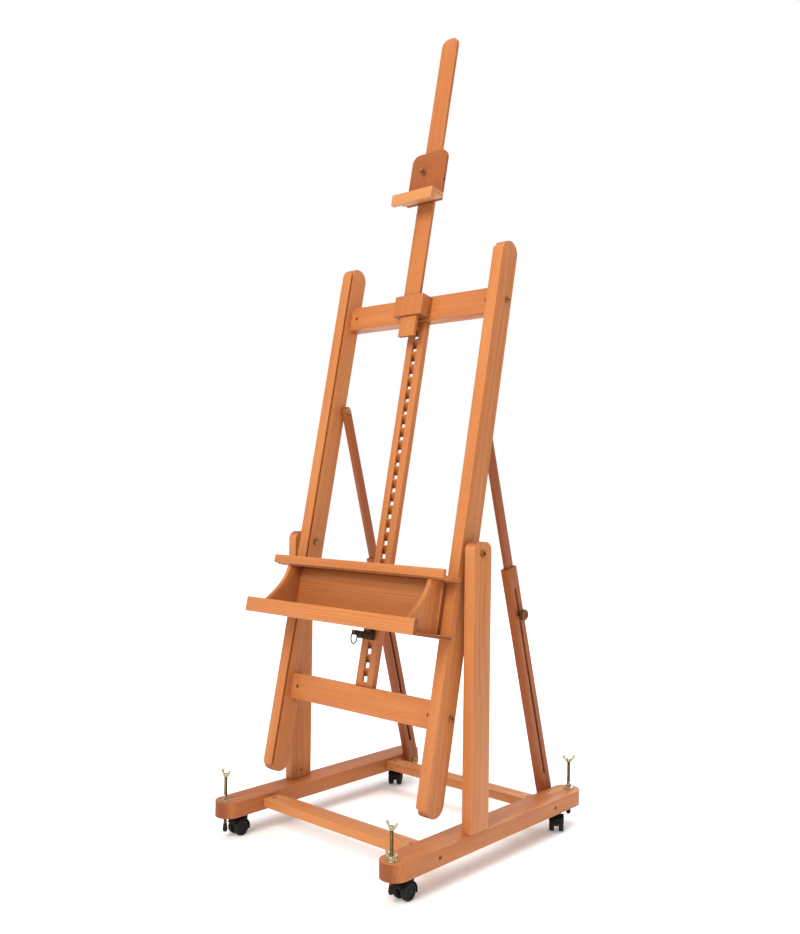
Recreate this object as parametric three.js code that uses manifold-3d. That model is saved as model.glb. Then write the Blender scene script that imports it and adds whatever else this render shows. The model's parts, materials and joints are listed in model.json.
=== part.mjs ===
// A wooden studio easel on casters: a base, a tilting frame with a ratchet mast, a sliding tray,
// a sliding top mast with a canvas holder, and two telescoping stays.
// Millimetres, +Z up, +X to the easel's right-hand side, the front faces -Y.
// The origin is on the floor, under the middle of the base.
import * as THREE from 'three';
import { mergeVertices } from 'three/addons/utils/BufferGeometryUtils.js';
import Module from 'manifold-3d';

const wasm = await Module();
wasm.setup();

// ---------------------------------------------------------------- driving dimensions

const GAP = 0.3; // between pieces that rest on each other
const SIDES = [['left', -1], ['right', 1]];
const ENDS = [['front', -1], ['rear', 1]];
const DEGREE = Math.PI / 180;

// base
const BASE_W = 600;
const RAIL_L = 705;
const RAIL_W = 65;
const RAIL_H = 36;
const RAIL_Z = 53; // underside of the side rails above the floor
const CROSS_H = 21;
const CROSS_Z = RAIL_Z + (RAIL_H - CROSS_H) / 2;
const FRONT_CROSS = [-241, -191]; // y range
const REAR_CROSS = [198.5, 242.5];
const POST_T = 25;
const POST_D = 64;
const POST_CAP = 25.5; // above the pivot
const POST_CORNER = 20;
const BOLT_RECESS_R = 5.5;
const BOLT_RECESS_DEPTH = 9;
const NUT_HOLE_R = 4.5;

// the tilting frame turns on a bolt through the top of each post
const PIVOT_Y = -81;
const PIVOT_Z = 697;
const LEAN = 11.5 * DEGREE; // the stored pose leans back from upright
const STILE_IN = 234;
const STILE_OUT = 263;
const STILE_D = 58;
const STILE_LOW = -572;
const STILE_TOP = 738;
const GROOVE_D = 6;
const GROOVE_Y = [-26, -19.5];
const BAR_H = 61; // crossbars
const BAR_Y = [-3, STILE_D / 2];
const LOWER_BAR_Z = -392.5;
const UPPER_BAR_Z = 567.5;
const BAR_BOLT_Y = 13;
const SHANK_R = 4;
const HOLE_R = 4.4;

// ratchet mast, between the crossbars
const RATCHET_W = 54;
const RATCHET_Y = [6, 22];
const SLOT_W = 15; // in front
const SLOT_BACK_W = 31; // behind the teeth, where the slots open out
const SLOT_STEP_Y = 11;
const TOOTH_PITCH = 32.5;
const TOOTH_EDGE = 2; // along the mast, at its front
const TOOTH_TOP_SLOPE = 0.15; // each tooth's top falls a little towards the back
const TOOTH_UNDER_SLOPE = 1.24; // and its underside falls steeply, so that the pawl can ride up
const TOOTH_ZERO = -222; // front edge of the tooth that the pawl rests on
const TEETH_BELOW = 3;
const TEETH_ABOVE = 24;
const TENON_W = 30;
const TENON_T = 10;
const TENON_L = 15;

// sliding top mast and its guide
const MAST_W = 51;
const MAST_Y = [-33, -23];
const MAST_LOW = 520;
const MAST_TOP = 1333;
const MAST_CORNER = 20;
const GUIDE_W = 90;
const GUIDE_Y = [-40, -3 - GAP];
const GUIDE_Z = [572, 624];
const SLIDE_GAP = 0.5;

// canvas holder on the top mast
const HOLDER_W = 113;
const HOLDER_Z = [869, 1006.5];
const HOLDER_T = 8.5;
const HOLDER_CORNER = 21;
const HOLDER_SCREW_X = -12;
const HOLDER_SCREW_Z = 955;
const HOLDER_SCREW_TURN = 35 * DEGREE;
const STRAP_T = 3.2;
const STRAP_Z = [914, 934];
const RETAINER_W = 131;
const RETAINER_T = 12;
const RETAINER_FRONT = -88.6;
const RETAINER_LOW = 852;

// tray that slides up and down the frame
const TRAY_BACK = -29.8;
const TRAY_W = 541;
const TRAY_FRONT = -162;
const TRAY_LIP_T = 13;
const TRAY_LOW = -197;
const TRAY_FLOOR_T = 8;
const TRAY_LIP_TOP = -162;
const PANEL_W = 472;
const PANEL_T = 13.2;
const LEDGE_W = 546;
const LEDGE_TOP = -61;
const LEDGE_T = 10;
const LEDGE_FRONT = -81.7;
const LIP_T = 12;
const LIP_Z = [-68.5, -48.5];
const BRACKET_T = 10.5;
const BRACKET_OUT = 232.6;
const SLEEVE_W = 84;
const SLEEVE_Y = [-29.5, 31];
const SLEEVE_Z = [-188, -120];

// pawl under the tray, and its pull ring
const PAWL_T = 3;
const PAWL_Y = [-3, 0];
const PAWL_Z = [-222, -204];
const PAWL_PIN_X = 12;
const PAWL_PIN_R = 2.5;
const RING_X = -50;
const RING_HOLE_Z = -208.5;
const RING_HOLE_R = 3;
const RING_R = 14.2;
const RING_TWIST = 14.3 * DEGREE;
const WIRE_R = 1.6;

// telescoping stays
const STAY_Y = 291;
const STAY_Z = 71;
const STAY_LEAN = 16.1 * DEGREE;
const STAY_OUT = 233;
const STAY_W = 19.8;
const STAY_D = 38;
const STAY_TOP = 603;
const STAY_CAVITY_W = 12.8;
const STAY_CAVITY_D = 24.6;
const STAY_CAVITY_LOW = 44;
const STAY_SLOT = [60, 551];
const STAY_SLOT_D = 8;
const STAY_BAR_W = 12;
const STAY_BAR_D = 23.6;
const STAY_BAR_Z = [456, 1006];
const STAY_KNOB_Z = 485;

// base hardware
const CASTER_Y = 277;
const CASTER_TRAIL = 14;
const CASTER_STEM_R = 5;
const WHEEL_R = 19;
const WHEEL_X = [5.5, 17.5];
const SCREW_Y = 331;
const SCREW_TOP = 151;
const FOOT_Z = [21, 41];
const FOOT_R = 5.8;

// how the turning parts of each corner stand, and how far its levelling screw is screwed in
const CORNERS = {
  front_left: { swivel: 0, screwTurn: 0, nutTurn: -48 * DEGREE, drop: 5 },
  front_right: { swivel: 0, screwTurn: 0, nutTurn: 0, drop: 0 },
  rear_left: { swivel: 32 * DEGREE, screwTurn: 0, nutTurn: 0, drop: 0 },
  rear_right: { swivel: 32 * DEGREE, screwTurn: 42 * DEGREE, nutTurn: -48 * DEGREE, drop: -3 },
};

// where the rail's length axis lies, across the base
const RAIL_MID = BASE_W / 2 - RAIL_W / 2;
const RAIL_TOP = RAIL_Z + RAIL_H;
const RAIL_IN = BASE_W / 2 - RAIL_W;

// ---------------------------------------------------------------- materials

function material(color, roughness, metalness = 0) {
  return new THREE.MeshStandardMaterial({ color, roughness, metalness });
}
const beech = material('#c9773d', 0.5);
const paleBeech = material('#d8904f', 0.5);
const brass = material('#b8923f', 0.35, 1);
const bronze = material('#3a2c22', 0.45, 1);
const blackPlastic = material('#141414', 0.45);

// ---------------------------------------------------------------- shape helpers

// A closed geometry as a solid, so that it can be cut or joined.
function solid(geometry) {
  const bare = geometry.clone();
  bare.deleteAttribute('normal');
  bare.deleteAttribute('uv');
  const merged = mergeVertices(bare, 1e-4);
  return new wasm.Manifold(new wasm.Mesh({
    numProp: 3,
    vertProperties: Float32Array.from(merged.attributes.position.array),
    triVerts: Uint32Array.from(merged.index.array),
  }));
}

function geometryOf(body) {
  const mesh = body.getMesh();
  const geometry = new THREE.BufferGeometry();
  geometry.setAttribute('position', new THREE.BufferAttribute(mesh.vertProperties, 3));
  geometry.setIndex(new THREE.BufferAttribute(mesh.triVerts, 1));
  geometry.computeVertexNormals();
  return geometry;
}

function join(...geometries) {
  return geometryOf(geometries.map(solid).reduce((whole, piece) => whole.add(piece)));
}

function cut(geometry, ...tools) {
  return geometryOf(tools.map(solid).reduce((rest, tool) => rest.subtract(tool), solid(geometry)));
}

function box([x0, x1], [y0, y1], [z0, z1]) {
  const geometry = new THREE.BoxGeometry(x1 - x0, y1 - y0, z1 - z0);
  return geometry.translate((x0 + x1) / 2, (y0 + y1) / 2, (z0 + z1) / 2);
}

// Rods from one end to the other along X, Y or Z.
function rodX(radius, [x0, x1], y, z, segments = 24) {
  const rod = new THREE.CylinderGeometry(radius, radius, x1 - x0, segments).rotateZ(Math.PI / 2);
  return rod.translate((x0 + x1) / 2, y, z);
}

function rodY(radius, x, [y0, y1], z, segments = 24) {
  const rod = new THREE.CylinderGeometry(radius, radius, y1 - y0, segments);
  return rod.translate(x, (y0 + y1) / 2, z);
}

function rodZ(radius, x, y, [z0, z1], segments = 24) {
  const rod = new THREE.CylinderGeometry(radius, radius, z1 - z0, segments).rotateX(Math.PI / 2);
  return rod.translate(x, y, (z0 + z1) / 2);
}

function extrude(shape, depth, curveSegments = 12) {
  return new THREE.ExtrudeGeometry(shape, { depth, bevelEnabled: false, curveSegments });
}

// An outline drawn in (y, z), between two x values.
function slabX(shape, [x0, x1], curveSegments) {
  const turn = new THREE.Matrix4().makeBasis(
    new THREE.Vector3(0, 1, 0), new THREE.Vector3(0, 0, 1), new THREE.Vector3(1, 0, 0));
  return extrude(shape, x1 - x0, curveSegments).applyMatrix4(turn).translate(x0, 0, 0);
}

// An outline drawn in (x, z), between two y values.
function slabY(shape, [y0, y1], curveSegments) {
  const turn = new THREE.Matrix4().makeBasis(
    new THREE.Vector3(1, 0, 0), new THREE.Vector3(0, 0, 1), new THREE.Vector3(0, -1, 0));
  return extrude(shape, y1 - y0, curveSegments).applyMatrix4(turn).translate(0, y1, 0);
}

// An outline drawn in (x, y), between two z values.
function slabZ(shape, [z0, z1], curveSegments) {
  return extrude(shape, z1 - z0, curveSegments).translate(0, 0, z0);
}

// A straight piece with half-round ends, drawn upright between two heights.
function roundEnded(width, low, high, centre = 0) {
  const r = width / 2;
  const shape = new THREE.Shape();
  shape.absarc(centre, high - r, r, 0, Math.PI, false);
  shape.absarc(centre, low + r, r, Math.PI, 2 * Math.PI, false);
  shape.closePath();
  return shape;
}

// A range on one side of the middle: sided(-1, 2, 5) is [-5, -2].
function sided(side, near, far) {
  return side > 0 ? [near, far] : [-far, -near];
}

function centred(width) {
  return [-width / 2, width / 2];
}

function place(parent, name, geometry, surface) {
  const mesh = new THREE.Mesh(geometry, surface);
  mesh.name = name;
  parent.add(mesh);
  return mesh;
}

// A wing head standing on z = 0: a hub and two upright wings.
function wingHead(hubR = 6.5, span = 15, height = 22) {
  const wing = new THREE.Shape();
  wing.moveTo(hubR * 0.3, 1);
  wing.quadraticCurveTo(span * 0.62, height * 0.1, span, height * 0.6);
  wing.quadraticCurveTo(span * 1.08, height * 0.95, span * 0.85, height);
  wing.quadraticCurveTo(span * 0.6, height * 0.9, span * 0.5, height * 0.55);
  wing.lineTo(hubR * 0.3, height * 0.42);
  wing.closePath();
  const right = slabY(wing, [-1.6, 1.6], 5);
  const left = right.clone().rotateZ(Math.PI);
  return join(rodZ(hubR, 0, 0, [0, height * 0.46], 20), right, left);
}

// ---------------------------------------------------------------- base

const easel = new THREE.Group();

// Side rails: round-ended planks, drilled for the casters and the levelling screws, with a
// recess for each cross-rail bolt and a blind hole for the stay's foot bolt.
function sideRail(side) {
  const plan = roundEnded(RAIL_W, -RAIL_L / 2, RAIL_L / 2, side * RAIL_MID);
  const through = [RAIL_Z - 1, RAIL_TOP + 1];
  const tools = [];
  for (const [, end] of ENDS) {
    tools.push(rodZ(HOLE_R, side * RAIL_MID, end * SCREW_Y, through));
    tools.push(rodZ(CASTER_STEM_R + 0.4, side * RAIL_MID, end * CASTER_Y, [RAIL_Z - 1, RAIL_Z + 27]));
  }
  const recess = sided(side, BASE_W / 2 - BOLT_RECESS_DEPTH, BASE_W / 2 + 1);
  for (const [low, high] of [FRONT_CROSS, REAR_CROSS]) {
    tools.push(rodX(BOLT_RECESS_R, recess, (low + high) / 2, RAIL_Z + RAIL_H / 2));
  }
  tools.push(rodX(HOLE_R, sided(side, RAIL_IN - 1, RAIL_IN + 24), STAY_Y, STAY_Z));
  return cut(slabZ(plan, [RAIL_Z, RAIL_TOP], 16), ...tools);
}

// Cross rails: flat planks between the side rails, each with a nut hole near both ends.
function crossRail(range) {
  const plank = box(centred(2 * (RAIL_IN - GAP)), range, [CROSS_Z, CROSS_Z + CROSS_H]);
  const top = [CROSS_Z + CROSS_H - 14, CROSS_Z + CROSS_H + 1];
  const middle = (range[0] + range[1]) / 2;
  return cut(plank, ...SIDES.map(([, side]) => rodZ(NUT_HOLE_R, side * (RAIL_IN - 14), middle, top)));
}

// Posts: upright boards on the side rails, rounded over the pivot, with a nut hole low inside.
function post(side) {
  const r = POST_D / 2;
  const bend = PIVOT_Z + POST_CAP - POST_CORNER;
  const outline = new THREE.Shape();
  outline.moveTo(PIVOT_Y - r, RAIL_TOP + GAP);
  outline.lineTo(PIVOT_Y + r, RAIL_TOP + GAP);
  outline.lineTo(PIVOT_Y + r, bend);
  outline.absarc(PIVOT_Y + r - POST_CORNER, bend, POST_CORNER, 0, Math.PI / 2, false);
  outline.absarc(PIVOT_Y - r + POST_CORNER, bend, POST_CORNER, Math.PI / 2, Math.PI, false);
  outline.closePath();
  const inner = BASE_W / 2 - POST_T;
  return cut(
    slabX(outline, sided(side, inner, BASE_W / 2), 10),
    rodX(HOLE_R, sided(side, inner - 1, BASE_W / 2 + 1), PIVOT_Y, PIVOT_Z),
    rodX(NUT_HOLE_R, sided(side, inner - 1, inner + 13), PIVOT_Y, RAIL_TOP + 20));
}

// Pivot bolts: a domed head outside the post, a shank through post and stile, and a nut inside.
function pivotBolt(side) {
  const head = new THREE.LatheGeometry([
    new THREE.Vector2(0, 0), new THREE.Vector2(7.5, 0), new THREE.Vector2(7.5, 1.6),
    new THREE.Vector2(6.2, 3.8), new THREE.Vector2(3.4, 5.2), new THREE.Vector2(0, 5.8),
  ], 28).rotateZ(-side * Math.PI / 2).translate(side * (BASE_W / 2 + GAP), PIVOT_Y, PIVOT_Z);
  const shank = rodX(SHANK_R, sided(side, STILE_IN - 5, BASE_W / 2 + 2), PIVOT_Y, PIVOT_Z);
  const nut = rodX(8, sided(side, STILE_IN - 6, STILE_IN - GAP), PIVOT_Y, PIVOT_Z, 6);
  return join(head, shank, nut);
}

// Pivot spacers: collars that hold each stile clear of its post.
function pivotSpacer(side) {
  const length = sided(side, STILE_OUT + GAP, BASE_W / 2 - POST_T - GAP);
  return cut(
    rodX(13, length, PIVOT_Y, PIVOT_Z, 32),
    rodX(HOLE_R, [length[0] - 1, length[1] + 1], PIVOT_Y, PIVOT_Z));
}

// Twin-wheel casters: a hood and fork on a stem, and two wheels on one axle.
function casterHousing() {
  const [start, end] = [-0.1 * Math.PI, 0.84 * Math.PI];
  const hood = new THREE.Shape();
  hood.absarc(0, 0, WHEEL_R + 3, start, end, false);
  hood.absarc(0, 0, WHEEL_R + 1, end, start, true);
  hood.closePath();
  const forkR = WHEEL_R + 2;
  const fork = new THREE.Shape();
  fork.absarc(0, 0, forkR, start, end, false);
  fork.quadraticCurveTo(-9, -8, 0, -8);
  fork.quadraticCurveTo(11, -8.5, forkR * Math.cos(start), forkR * Math.sin(start));
  fork.closePath();
  const top = RAIL_Z - GAP - WHEEL_R;
  const collar = cut(
    rodZ(11.5, 0, CASTER_TRAIL, [8, top], 20),
    rodX(WHEEL_R + 1, centred(2 * WHEEL_X[1] + 4), 0, 0, 48));
  return cut(
    join(
      slabX(hood, [-WHEEL_X[1] - 0.5, WHEEL_X[1] + 0.5], 12),
      slabX(fork, [-WHEEL_X[0] + 0.5, WHEEL_X[0] - 0.5], 8),
      collar,
      rodZ(CASTER_STEM_R, 0, CASTER_TRAIL, [WHEEL_R + 2, top + 26], 16)),
    rodX(3.4, [-10, 10], 0, 0, 16));
}

function casterWheels() {
  const [near, far] = WHEEL_X;
  const profile = [
    new THREE.Vector2(0, near), new THREE.Vector2(WHEEL_R - 2.5, near),
    new THREE.Vector2(WHEEL_R - 0.6, near + 1.2), new THREE.Vector2(WHEEL_R, near + 3.5),
    new THREE.Vector2(WHEEL_R, far - 4), new THREE.Vector2(WHEEL_R - 0.8, far - 1.5),
    new THREE.Vector2(WHEEL_R - 3, far), new THREE.Vector2(12, far),
    new THREE.Vector2(11, far - 1.6), new THREE.Vector2(0, far - 1.6),
  ];
  const wheel = new THREE.LatheGeometry(profile, 24);
  const right = wheel.clone().rotateZ(-Math.PI / 2);
  const left = wheel.clone().rotateZ(Math.PI / 2);
  return join(right, left, rodX(3, [-near - 2, near + 2], 0, 0, 16));
}

// Levelling screws: a threaded rod through the end of the rail, wings to turn it, and a foot.
function levellingScrew() {
  const foot = new THREE.LatheGeometry([
    new THREE.Vector2(0, FOOT_Z[0]), new THREE.Vector2(FOOT_R - 2, FOOT_Z[0]),
    new THREE.Vector2(FOOT_R, FOOT_Z[0] + 4), new THREE.Vector2(FOOT_R, FOOT_Z[0] + 10),
    new THREE.Vector2(FOOT_R - 1.2, FOOT_Z[1]), new THREE.Vector2(0, FOOT_Z[1]),
  ], 20).rotateX(Math.PI / 2);
  return join(
    foot,
    rodZ(SHANK_R, 0, 0, [FOOT_Z[1] - 2, SCREW_TOP + 2], 16),
    wingHead(6.5, 15, 18).translate(0, 0, SCREW_TOP));
}

// Lock nuts: flanged wing nuts that clamp the levelling screws against the rail.
function lockNut() {
  return cut(
    join(
      rodZ(13, 0, 0, [0, 2], 24),
      wingHead(7.2, 16, 19).translate(0, 0, 1)),
    rodZ(HOLE_R, 0, 0, [-1, 24], 16));
}

function buildBase() {
  for (const [word, side] of SIDES) {
    place(easel, `side_rail_${word}`, sideRail(side), beech);
    place(easel, `post_${word}`, post(side), beech);
    place(easel, `pivot_bolt_${word}`, pivotBolt(side), brass);
    place(easel, `pivot_spacer_${word}`, pivotSpacer(side), brass);
  }
  place(easel, 'front_cross_rail', crossRail(FRONT_CROSS), beech);
  place(easel, 'rear_cross_rail', crossRail(REAR_CROSS), beech);
  for (const [end, endSign] of ENDS) {
    for (const [word, side] of SIDES) {
      const { swivel, screwTurn, nutTurn, drop } = CORNERS[`${end}_${word}`];
      const x = side * RAIL_MID;
      const axle = [
        x + CASTER_TRAIL * Math.sin(swivel),
        endSign * CASTER_Y - CASTER_TRAIL * Math.cos(swivel),
        WHEEL_R,
      ];
      const housing = place(easel, `caster_housing_${end}_${word}`, casterHousing(), blackPlastic);
      const wheels = place(easel, `caster_wheels_${end}_${word}`, casterWheels(), blackPlastic);
      for (const piece of [housing, wheels]) {
        piece.position.set(...axle);
        piece.rotation.z = swivel;
      }
      const screw = place(easel, `levelling_screw_${end}_${word}`, levellingScrew(), brass);
      screw.position.set(x, endSign * SCREW_Y, -drop);
      screw.rotation.z = screwTurn;
      const nut = place(easel, `lock_nut_${end}_${word}`, lockNut(), brass);
      nut.position.set(x, endSign * SCREW_Y, RAIL_TOP + GAP);
      nut.rotation.z = nutTurn;
    }
  }
}

// ---------------------------------------------------------------- tilting frame

// In the frame's own axes the pivot is the origin, z runs up the stiles and the front is -y.
const frame = new THREE.Group();
frame.position.set(0, PIVOT_Y, PIVOT_Z);
frame.rotation.x = -LEAN;
easel.add(frame);

const BAR_RANGES = { lower: LOWER_BAR_Z, upper: UPPER_BAR_Z };
const RATCHET_MIDDLE = (RATCHET_Y[0] + RATCHET_Y[1]) / 2;

// Stiles: round-ended boards with a groove along the inner face.
function stile(side) {
  const tools = [
    box(sided(side, STILE_IN - 1, STILE_IN + GROOVE_D), GROOVE_Y, [STILE_LOW - 1, STILE_TOP + 1]),
    rodX(HOLE_R, sided(side, STILE_IN - 1, STILE_OUT + 1), 0, 0),
  ];
  for (const low of Object.values(BAR_RANGES)) {
    tools.push(rodX(3.4, sided(side, STILE_IN - 1, STILE_OUT + 1), BAR_BOLT_Y, low + BAR_H / 2, 16));
  }
  const outline = roundEnded(STILE_D, STILE_LOW, STILE_TOP);
  return cut(slabX(outline, sided(side, STILE_IN, STILE_OUT), 16), ...tools);
}

// Crossbars: tied to the stiles by a bolt at each end, which meets a round nut in the bar.
function crossbar(low, mortiseZ, ...extraTools) {
  const bar = box(centred(2 * (STILE_IN - GAP)), BAR_Y, [low, low + BAR_H]);
  const middle = low + BAR_H / 2;
  const tools = [];
  for (const [, side] of SIDES) {
    tools.push(rodX(3.4, sided(side, STILE_IN - 40, STILE_IN + 1), BAR_BOLT_Y, middle, 16));
    tools.push(rodY(NUT_HOLE_R, side * (STILE_IN - 21), [BAR_Y[0] - 1, BAR_BOLT_Y + 7], middle));
  }
  tools.push(box(centred(TENON_W + 2 * GAP),
    [RATCHET_MIDDLE - TENON_T / 2 - GAP, RATCHET_MIDDLE + TENON_T / 2 + GAP], mortiseZ));
  return cut(bar, ...tools, ...extraTools);
}

function barBolt(side, low) {
  const z = low + BAR_H / 2;
  return join(
    rodX(3, sided(side, STILE_IN - 30, STILE_OUT + 2), BAR_BOLT_Y, z, 16),
    rodX(7.5, sided(side, STILE_OUT + GAP, STILE_OUT + 3.5), BAR_BOLT_Y, z, 24),
    rodX(5.2, sided(side, STILE_OUT + 3, STILE_OUT + 5), BAR_BOLT_Y, z, 24));
}

// One slot between two wedge-shaped teeth.
function ratchetSlot(floor, width, [front, back]) {
  const roof = floor + TOOTH_PITCH - TOOTH_EDGE;
  const slot = new THREE.Shape();
  slot.moveTo(front, floor - TOOTH_TOP_SLOPE * (front - RATCHET_Y[0]));
  slot.lineTo(back, floor - TOOTH_TOP_SLOPE * (back - RATCHET_Y[0]));
  slot.lineTo(back, roof - TOOTH_UNDER_SLOPE * (back - RATCHET_Y[0]));
  slot.lineTo(front, roof - TOOTH_UNDER_SLOPE * (front - RATCHET_Y[0]));
  slot.closePath();
  return slabX(slot, centred(width));
}

// Ratchet mast: two strips with sloping teeth between them, tenoned into both crossbars.
function ratchetMast() {
  const low = LOWER_BAR_Z + BAR_H;
  const body = box(centred(RATCHET_W), RATCHET_Y, [low + GAP, UPPER_BAR_Z - GAP]);
  const tenon = box(centred(TENON_W),
    [RATCHET_MIDDLE - TENON_T / 2, RATCHET_MIDDLE + TENON_T / 2],
    [low - TENON_L, UPPER_BAR_Z + TENON_L]);
  const slots = [];
  for (let tooth = -TEETH_BELOW; tooth < TEETH_ABOVE; tooth += 1) {
    const floor = TOOTH_ZERO + tooth * TOOTH_PITCH;
    slots.push(
      ratchetSlot(floor, SLOT_W, [RATCHET_Y[0] - 1, SLOT_STEP_Y + 1]),
      ratchetSlot(floor, SLOT_BACK_W, [SLOT_STEP_Y, RATCHET_Y[1] + 1]));
  }
  return cut(join(body, tenon), ...slots);
}

// Guide block on the upper crossbar: a collar that the top mast slides through.
const GUIDE_MIDDLE = (GUIDE_Z[0] + GUIDE_Z[1]) / 2;

function mastGuide() {
  return cut(
    box(centred(GUIDE_W), GUIDE_Y, GUIDE_Z),
    box(centred(MAST_W + 2 * SLIDE_GAP), [MAST_Y[0] - SLIDE_GAP, MAST_Y[1] + SLIDE_GAP],
      [GUIDE_Z[0] - 1, GUIDE_Z[1] + 1]),
    rodY(HOLE_R, 0, [MAST_Y[1] - 1, GUIDE_Y[1] + 1], GUIDE_MIDDLE));
}

// Mast lock: a wing screw from the back of the crossbar that bears on the top mast.
function mastLock() {
  const head = wingHead(8, 19, 26).rotateX(-Math.PI / 2).translate(0, BAR_Y[1] + 1, 0);
  const rod = rodY(SHANK_R, 0, [MAST_Y[1] + 0.8, BAR_Y[1] + 3], 0, 16);
  return join(head, rod).translate(0, 0, GUIDE_MIDDLE);
}

function buildFrame() {
  const lowerTop = LOWER_BAR_Z + BAR_H;
  const lowerMortise = [lowerTop - TENON_L - 1, lowerTop + 1];
  const upperMortise = [UPPER_BAR_Z - 1, UPPER_BAR_Z + TENON_L + 1];
  const lockHole = rodY(HOLE_R, 0, [BAR_Y[0] - 1, BAR_Y[1] + 1], GUIDE_MIDDLE);
  for (const [word, side] of SIDES) {
    place(frame, `stile_${word}`, stile(side), beech);
    for (const [level, low] of Object.entries(BAR_RANGES)) {
      place(frame, `crossbar_bolt_${level}_${word}`, barBolt(side, low), brass);
    }
  }
  place(frame, 'lower_crossbar', crossbar(LOWER_BAR_Z, lowerMortise), beech);
  place(frame, 'upper_crossbar', crossbar(UPPER_BAR_Z, upperMortise, lockHole), beech);
  place(frame, 'ratchet_mast', ratchetMast(), beech);
  place(frame, 'mast_guide_block', mastGuide(), beech);
  place(frame, 'mast_lock_screw', mastLock(), brass);
}

// ---------------------------------------------------------------- top mast and canvas holder

function topMast() {
  const half = MAST_W / 2;
  const outline = new THREE.Shape();
  outline.moveTo(-half, MAST_LOW);
  outline.lineTo(half, MAST_LOW);
  outline.lineTo(half, MAST_TOP - MAST_CORNER);
  outline.absarc(half - MAST_CORNER, MAST_TOP - MAST_CORNER, MAST_CORNER, 0, Math.PI / 2, false);
  outline.absarc(MAST_CORNER - half, MAST_TOP - MAST_CORNER, MAST_CORNER,
    Math.PI / 2, Math.PI, false);
  outline.closePath();
  return slabY(outline, MAST_Y, 10);
}

const PLATE_Y = [MAST_Y[0] - SLIDE_GAP - HOLDER_T, MAST_Y[0] - SLIDE_GAP];

// Holder plate: rides in front of the mast, with its upper corners rounded.
function holderPlate() {
  const half = HOLDER_W / 2;
  const [low, high] = HOLDER_Z;
  const outline = new THREE.Shape();
  outline.moveTo(-half, low);
  outline.lineTo(half, low);
  outline.lineTo(half, high - HOLDER_CORNER);
  outline.absarc(half - HOLDER_CORNER, high - HOLDER_CORNER, HOLDER_CORNER, 0, Math.PI / 2, false);
  outline.absarc(HOLDER_CORNER - half, high - HOLDER_CORNER, HOLDER_CORNER,
    Math.PI / 2, Math.PI, false);
  outline.closePath();
  return cut(
    slabY(outline, PLATE_Y, 8),
    rodY(HOLE_R, HOLDER_SCREW_X, [PLATE_Y[0] - 1, PLATE_Y[1] + 1], HOLDER_SCREW_Z));
}

// Holder strap: a metal strap round the back of the mast, fixed to the plate.
function holderStrap() {
  const inner = MAST_W / 2 + 0.8;
  const outer = inner + STRAP_T;
  const back = MAST_Y[1] + 0.8;
  return join(
    box([-outer, outer], [back, back + STRAP_T], STRAP_Z),
    box([inner, outer], [PLATE_Y[1] + GAP, back + 1], STRAP_Z),
    box([-outer, -inner], [PLATE_Y[1] + GAP, back + 1], STRAP_Z));
}

// Canvas retainer: a ledge in front of the plate with a lip that hangs over the canvas.
function canvasRetainer() {
  const backOfLip = RETAINER_FRONT + RETAINER_T;
  const ledgeTop = HOLDER_Z[0] + RETAINER_T;
  return join(
    box(centred(RETAINER_W), [RETAINER_FRONT, backOfLip], [RETAINER_LOW, ledgeTop]),
    box(centred(RETAINER_W), [backOfLip - 1, PLATE_Y[0] - GAP], [HOLDER_Z[0], ledgeTop]));
}

// Holder screw: a wing screw through the plate that bears on the front of the mast.
function holderScrew() {
  const head = wingHead(5.5, 12.5, 17).rotateX(Math.PI / 2).rotateY(HOLDER_SCREW_TURN)
    .translate(0, PLATE_Y[0] - 8, 0);
  const rod = rodY(SHANK_R, 0, [PLATE_Y[0] - 10, MAST_Y[0] - 0.4], 0, 16);
  return join(head, rod).translate(HOLDER_SCREW_X, 0, HOLDER_SCREW_Z);
}

function buildTopMast() {
  place(frame, 'top_mast', topMast(), beech);
  place(frame, 'holder_plate', holderPlate(), beech);
  place(frame, 'holder_strap', holderStrap(), bronze);
  place(frame, 'canvas_retainer', canvasRetainer(), paleBeech);
  place(frame, 'holder_wing_screw', holderScrew(), brass);
}

// ---------------------------------------------------------------- tray

const FLOOR_TOP = TRAY_LOW + TRAY_FLOOR_T;
const LEDGE_LOW = LEDGE_TOP - LEDGE_T;
const PANEL_FRONT = TRAY_BACK - PANEL_T;
const LIP_BACK = TRAY_FRONT + TRAY_LIP_T;

// Side brackets: their front edge sweeps down from the canvas ledge to the tray's front lip.
function trayBracket(side) {
  const outline = new THREE.Shape();
  outline.moveTo(PANEL_FRONT - GAP, LEDGE_LOW - GAP);
  outline.lineTo(-82, LEDGE_LOW - GAP);
  outline.bezierCurveTo(-86, -108, -112, -138, LIP_BACK + GAP, -170);
  outline.lineTo(LIP_BACK + GAP, FLOOR_TOP + GAP);
  outline.lineTo(PANEL_FRONT - GAP, FLOOR_TOP + GAP);
  outline.closePath();
  return slabX(outline, sided(side, BRACKET_OUT - BRACKET_T, BRACKET_OUT), 16);
}

// Guide sleeve: fixed behind the tray's back panel, it wraps the ratchet mast.
function guideSleeve() {
  return cut(
    box(centred(SLEEVE_W), SLEEVE_Y, SLEEVE_Z),
    box(centred(RATCHET_W + 2 * SLIDE_GAP), [RATCHET_Y[0] - SLIDE_GAP, RATCHET_Y[1] + SLIDE_GAP],
      [SLEEVE_Z[0] - 1, SLEEVE_Z[1] + 1]),
    rodZ(PAWL_PIN_R + 0.3, PAWL_PIN_X, -PAWL_T / 2, [SLEEVE_Z[0] - 1, SLEEVE_Z[0] + 16], 16));
}

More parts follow.
